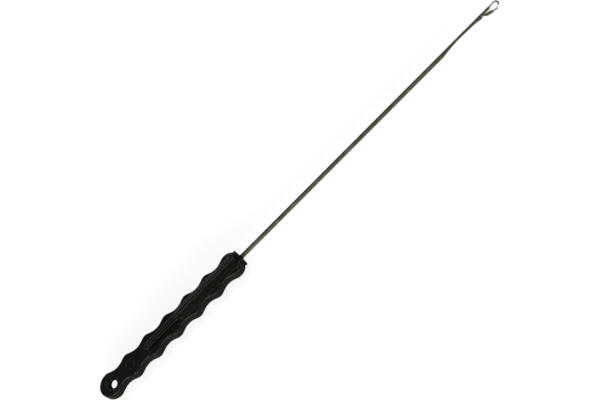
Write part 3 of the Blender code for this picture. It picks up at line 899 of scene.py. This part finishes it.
def steel(name, tones, highlight_and_wear_tone, stain, rough_range, rise=None, fall=None, metallic=1.0):
    """Drawn or ground steel: lines along X, brown and green stains, worn edges. A painted highlight lightens it
    over the stations rise and fades it again over the stations fall, standing in for light reflected off the hook
    end; the worn edges take the same lighter tone."""
    tree = Nodes(name)
    here = tree.coords()
    lines = tree.noise(tree.coords(scale=(0.02, 1, 1)), per_mm=9.0, detail=3, rough=0.6)
    fine = tree.noise(tree.coords(scale=(0.05, 1, 1)), per_mm=30.0, detail=2, rough=0.5)
    patch = tree.noise(tree.coords(scale=(0.35, 1, 1)), per_mm=0.55, detail=6, rough=0.62,
                       distort=0.6)
    broad = tree.noise(tree.coords(scale=(1, 0.5, 0.5), shift=(0.07, 0, 0)), per_mm=0.09)
    colour = tree.ramp(patch, tones)
    colour = tree.mix(colour, toward=stain, share=tree.span(broad, over=(0.45, 0.68)),
                      factor=0.60)
    green = tree.noise(tree.coords(scale=(0.8, 1, 1), shift=(0.02, 0.05, 0)), per_mm=0.16,
                       detail=5, rough=0.6)
    colour = tree.mix(colour, toward=(0.16, 0.19, 0.11),
                      share=tree.span(green, over=(0.52, 0.66)), factor=0.30)
    spots = tree.noise(tree.coords(scale=(0.7, 1, 1), shift=(0.4, 0, 0)), per_mm=1.3,
                       detail=5, rough=0.65)
    colour = tree.mix(colour, toward=shade(stain, factor=0.5),
                      share=tree.span(spots, over=(0.55, 0.66), to=(0.0, 0.45)))
    colour = tree.mix(colour, toward=shade(stain, factor=0.6),
                      share=tree.span(lines, over=(0.42, 0.66), to=(0.0, 0.50)))
    pits = tree.voronoi(here, per_mm=2.6)
    pit = tree.times(tree.span(pits, over=(0.10, 0.04)), tree.span(patch, over=(0.50, 0.60)))
    colour = tree.mix(colour, toward=(0.035, 0.024, 0.014), share=pit, factor=0.7)
    wear = tree.times(tree.worn_edges(over=(0.60, 0.72)), tree.span(patch, over=(0.45, 0.60)))
    # painted highlight: the colour is lightened along X over the stations rise and faded over fall, standing in
    # for light reflected off the hook end, not a change in the steel
    if rise:
        along = tree.split(here)['X']
        glow = tree.span(along, over=[MOUTH_X + x * MM for x in rise], smooth=True)
        if fall:
            glow = tree.times(glow, tree.span(along, over=[MOUTH_X + x * MM for x in fall],
                                              to=(1.0, 0.0), smooth=True))
        glow = tree.times(glow, tree.span(patch, over=(0.30, 0.55), to=(0.7, 1.0)))
        colour = tree.mix(colour, toward=highlight_and_wear_tone, share=glow)
    # worn edges: real wear, lightened with the same tone that the painted highlight uses
    colour = tree.mix(colour, toward=shade(highlight_and_wear_tone, factor=1.15), share=wear, factor=0.6)
    rough = tree.span(patch, over=(0.3, 0.7), to=rough_range)
    rough = tree.plus(rough, pit, factor=0.3, clamp=True)
    normal = tree.bump(lines, distance=1.6e-5, strength=0.7)
    normal = tree.bump(fine, distance=6e-6, strength=0.6, normal=normal)
    normal = tree.bump(patch, distance=3e-5, strength=0.4, normal=normal)
    normal = tree.bump(tree.times(pit, factor=-1.0), distance=2e-5, strength=0.8,
                       normal=normal)
    return tree.finish(colour, rough, metallic, normal)


def give(obj, material):
    obj.data.materials.clear()
    obj.data.materials.append(material)


give(grip, vinyl_material())
give(washer, washer_material())
give(rod, steel(
    "rod_steel",
    tones=[(0.34, (0.100, 0.096, 0.060)), (0.50, (0.185, 0.180, 0.122)),
           (0.64, (0.290, 0.284, 0.212))],
    # lighter tone for the painted highlight on the hook end, from the stations rise to fall, standing in for
    # reflected light; also the worn edges' tone
    highlight_and_wear_tone=(0.86, 0.86, 0.83), stain=(0.135, 0.105, 0.060), rough_range=(0.50, 0.62),
    rise=(225.5, 228.0), fall=(231.5, 232.3), metallic=0.4))
give(latch, steel(
    "latch_steel",
    tones=[(0.34, (0.13, 0.115, 0.070)), (0.50, (0.23, 0.21, 0.140)),
           (0.64, (0.34, 0.32, 0.235))],
    # lighter tone for the painted highlight on the latch's spoon end, from the stations rise on, standing in for
    # reflected light; also the worn edges' tone
    highlight_and_wear_tone=(0.80, 0.79, 0.74), stain=(0.20, 0.155, 0.10), rough_range=(0.46, 0.60),
    rise=(226.5, 228.5), metallic=0.4))
give(rivet, steel(
    "rivet_steel",
    tones=[(0.30, (0.42, 0.42, 0.39)), (0.50, (0.55, 0.55, 0.52)), (0.68, (0.66, 0.66, 0.63))],
    highlight_and_wear_tone=(0.75, 0.75, 0.73), stain=(0.30, 0.26, 0.20), rough_range=(0.28, 0.42)))
# the replaced CAD nodes get the same finishes
for node_name, look in (("grip", grip), ("mouth_washer", washer), ("rod", rod),
                        ("latch_rivet", rivet), ("latch", latch)):
    give(frame["nodes"][node_name], look.data.materials[0])

# ----------------------------------------------------------- floor, light, view
ALONG = Vector((1, 0, 0))
ACROSS = Vector((0, math.cos(ROLL), math.sin(ROLL)))       # in the hook plane
TO_CAMERA = Vector((0, -math.sin(ROLL), math.cos(ROLL)))   # square to the hook plane
TILT = math.radians(45.08)         # of the rod in the camera's view
AIM = Vector((MOUTH_X, 0, AXIS_Z)) + (ALONG * 53.06 - ACROSS * 0.83) * MM
CAMERA_DISTANCE = 0.650
FLOOR_SIZE = 3.0
FLOOR_GLOW, FLOOR_SEEN = 0.0, 0.78           # emission to other rays, and to the camera
LAMP_REACH = 1.1                   # distance of every lamp from the aim point
LAMPS = [
    # azimuth, elevation, width, height in degrees; power in watts
    (-126, 13, 34, 12, 4.0),        # low, past the hanging end
    (-88, 13, 36, 12, 2.2),         # low, in front
    (-38, 13, 34, 14, 1.2),         # low, past the hook
    (8, 36, 44, 26, 0.40),          # off the hook end
    (48, 24, 36, 24, 0.45),
    (108, 28, 64, 10, 0.80),        # behind the tool
    (112, 69, 140, 9, 1.30),        # overhead
]


def axes_at(place, *axes):
    """Matrix that puts an object at place with the given X, Y and Z axes."""
    return Matrix.Translation(place) @ Matrix(axes).transposed().to_4x4()


def make_camera():
    right = (ALONG * math.cos(TILT) - ACROSS * math.sin(TILT)).normalized()
    upward = TO_CAMERA.cross(right).normalized()
    data = bpy.data.cameras.new("camera")
    data.lens = 60.5
    data.sensor_width = 36.0
    data.clip_start = 0.01
    camera = bpy.data.objects.new("camera", data)
    bpy.context.scene.collection.objects.link(camera)
    camera.matrix_world = axes_at(AIM + TO_CAMERA * CAMERA_DISTANCE, right, upward, TO_CAMERA)
    bpy.context.scene.camera = camera


def floor_material():
    tree = Nodes("floor_pale")
    path = tree.add('ShaderNodeLightPath')
    diffuse = tree.add('ShaderNodeBsdfDiffuse')
    diffuse.inputs['Color'].default_value = (0.75, 0.75, 0.75, 1)
    glow = tree.add('ShaderNodeEmission')
    glow.inputs['Color'].default_value = (1, 1, 1, 1)
    seen = tree.span(path.outputs['Is Camera Ray'], over=(0, 1), to=(FLOOR_GLOW, FLOOR_SEEN))
    tree.link(seen, glow.inputs['Strength'])
    both = tree.add('ShaderNodeAddShader')
    tree.link(diffuse.outputs['BSDF'], both.inputs[0])
    tree.link(glow.outputs['Emission'], both.inputs[1])
    tree.link(both.outputs['Shader'], tree.out.inputs['Surface'])
    return tree.mat


def make_floor():
    bm = bmesh.new()
    bmesh.ops.create_grid(bm, x_segments=2, y_segments=2, size=FLOOR_SIZE)
    mesh = bpy.data.meshes.new("floor")
    bm.to_mesh(mesh)
    bm.free()
    obj = bpy.data.objects.new("floor", mesh)
    bpy.context.scene.collection.objects.link(obj)
    give(obj, floor_material())


def soft_lamp(number, azimuth, elevation, wide, high, power):
    """Rectangular soft lamp on a sphere about the aim point; angles in degrees."""
    turn, lift = math.radians(azimuth), math.radians(elevation)
    direction = Vector((math.cos(lift) * math.cos(turn), math.cos(lift) * math.sin(turn),
                        math.sin(lift)))
    side = Vector((-math.sin(turn), math.cos(turn), 0.0))
    data = bpy.data.lights.new("lamp_%02d" % number, 'AREA')
    data.shape = 'RECTANGLE'
    data.size = 2 * LAMP_REACH * math.tan(math.radians(wide / 2)) * math.cos(lift)
    data.size_y = 2 * LAMP_REACH * math.tan(math.radians(high / 2))
    data.energy = power
    obj = bpy.data.objects.new(data.name, data)
    bpy.context.scene.collection.objects.link(obj)
    obj.matrix_world = axes_at(AIM + direction * LAMP_REACH, side, direction.cross(side),
                               direction)


def make_world():
    """Faint bluish light from all round."""
    world = bpy.data.worlds.new("studio")
    bpy.context.scene.world = world
    world.use_nodes = True
    background = world.node_tree.nodes["Background"]
    background.inputs["Color"].default_value = (0.9, 0.95, 1.0, 1)
    background.inputs["Strength"].default_value = 0.10


make_camera()
make_floor()
for i, row in enumerate(LAMPS):
    soft_lamp(i, *row)
make_world()
bpy.context.scene.view_settings.view_transform = 'Standard'
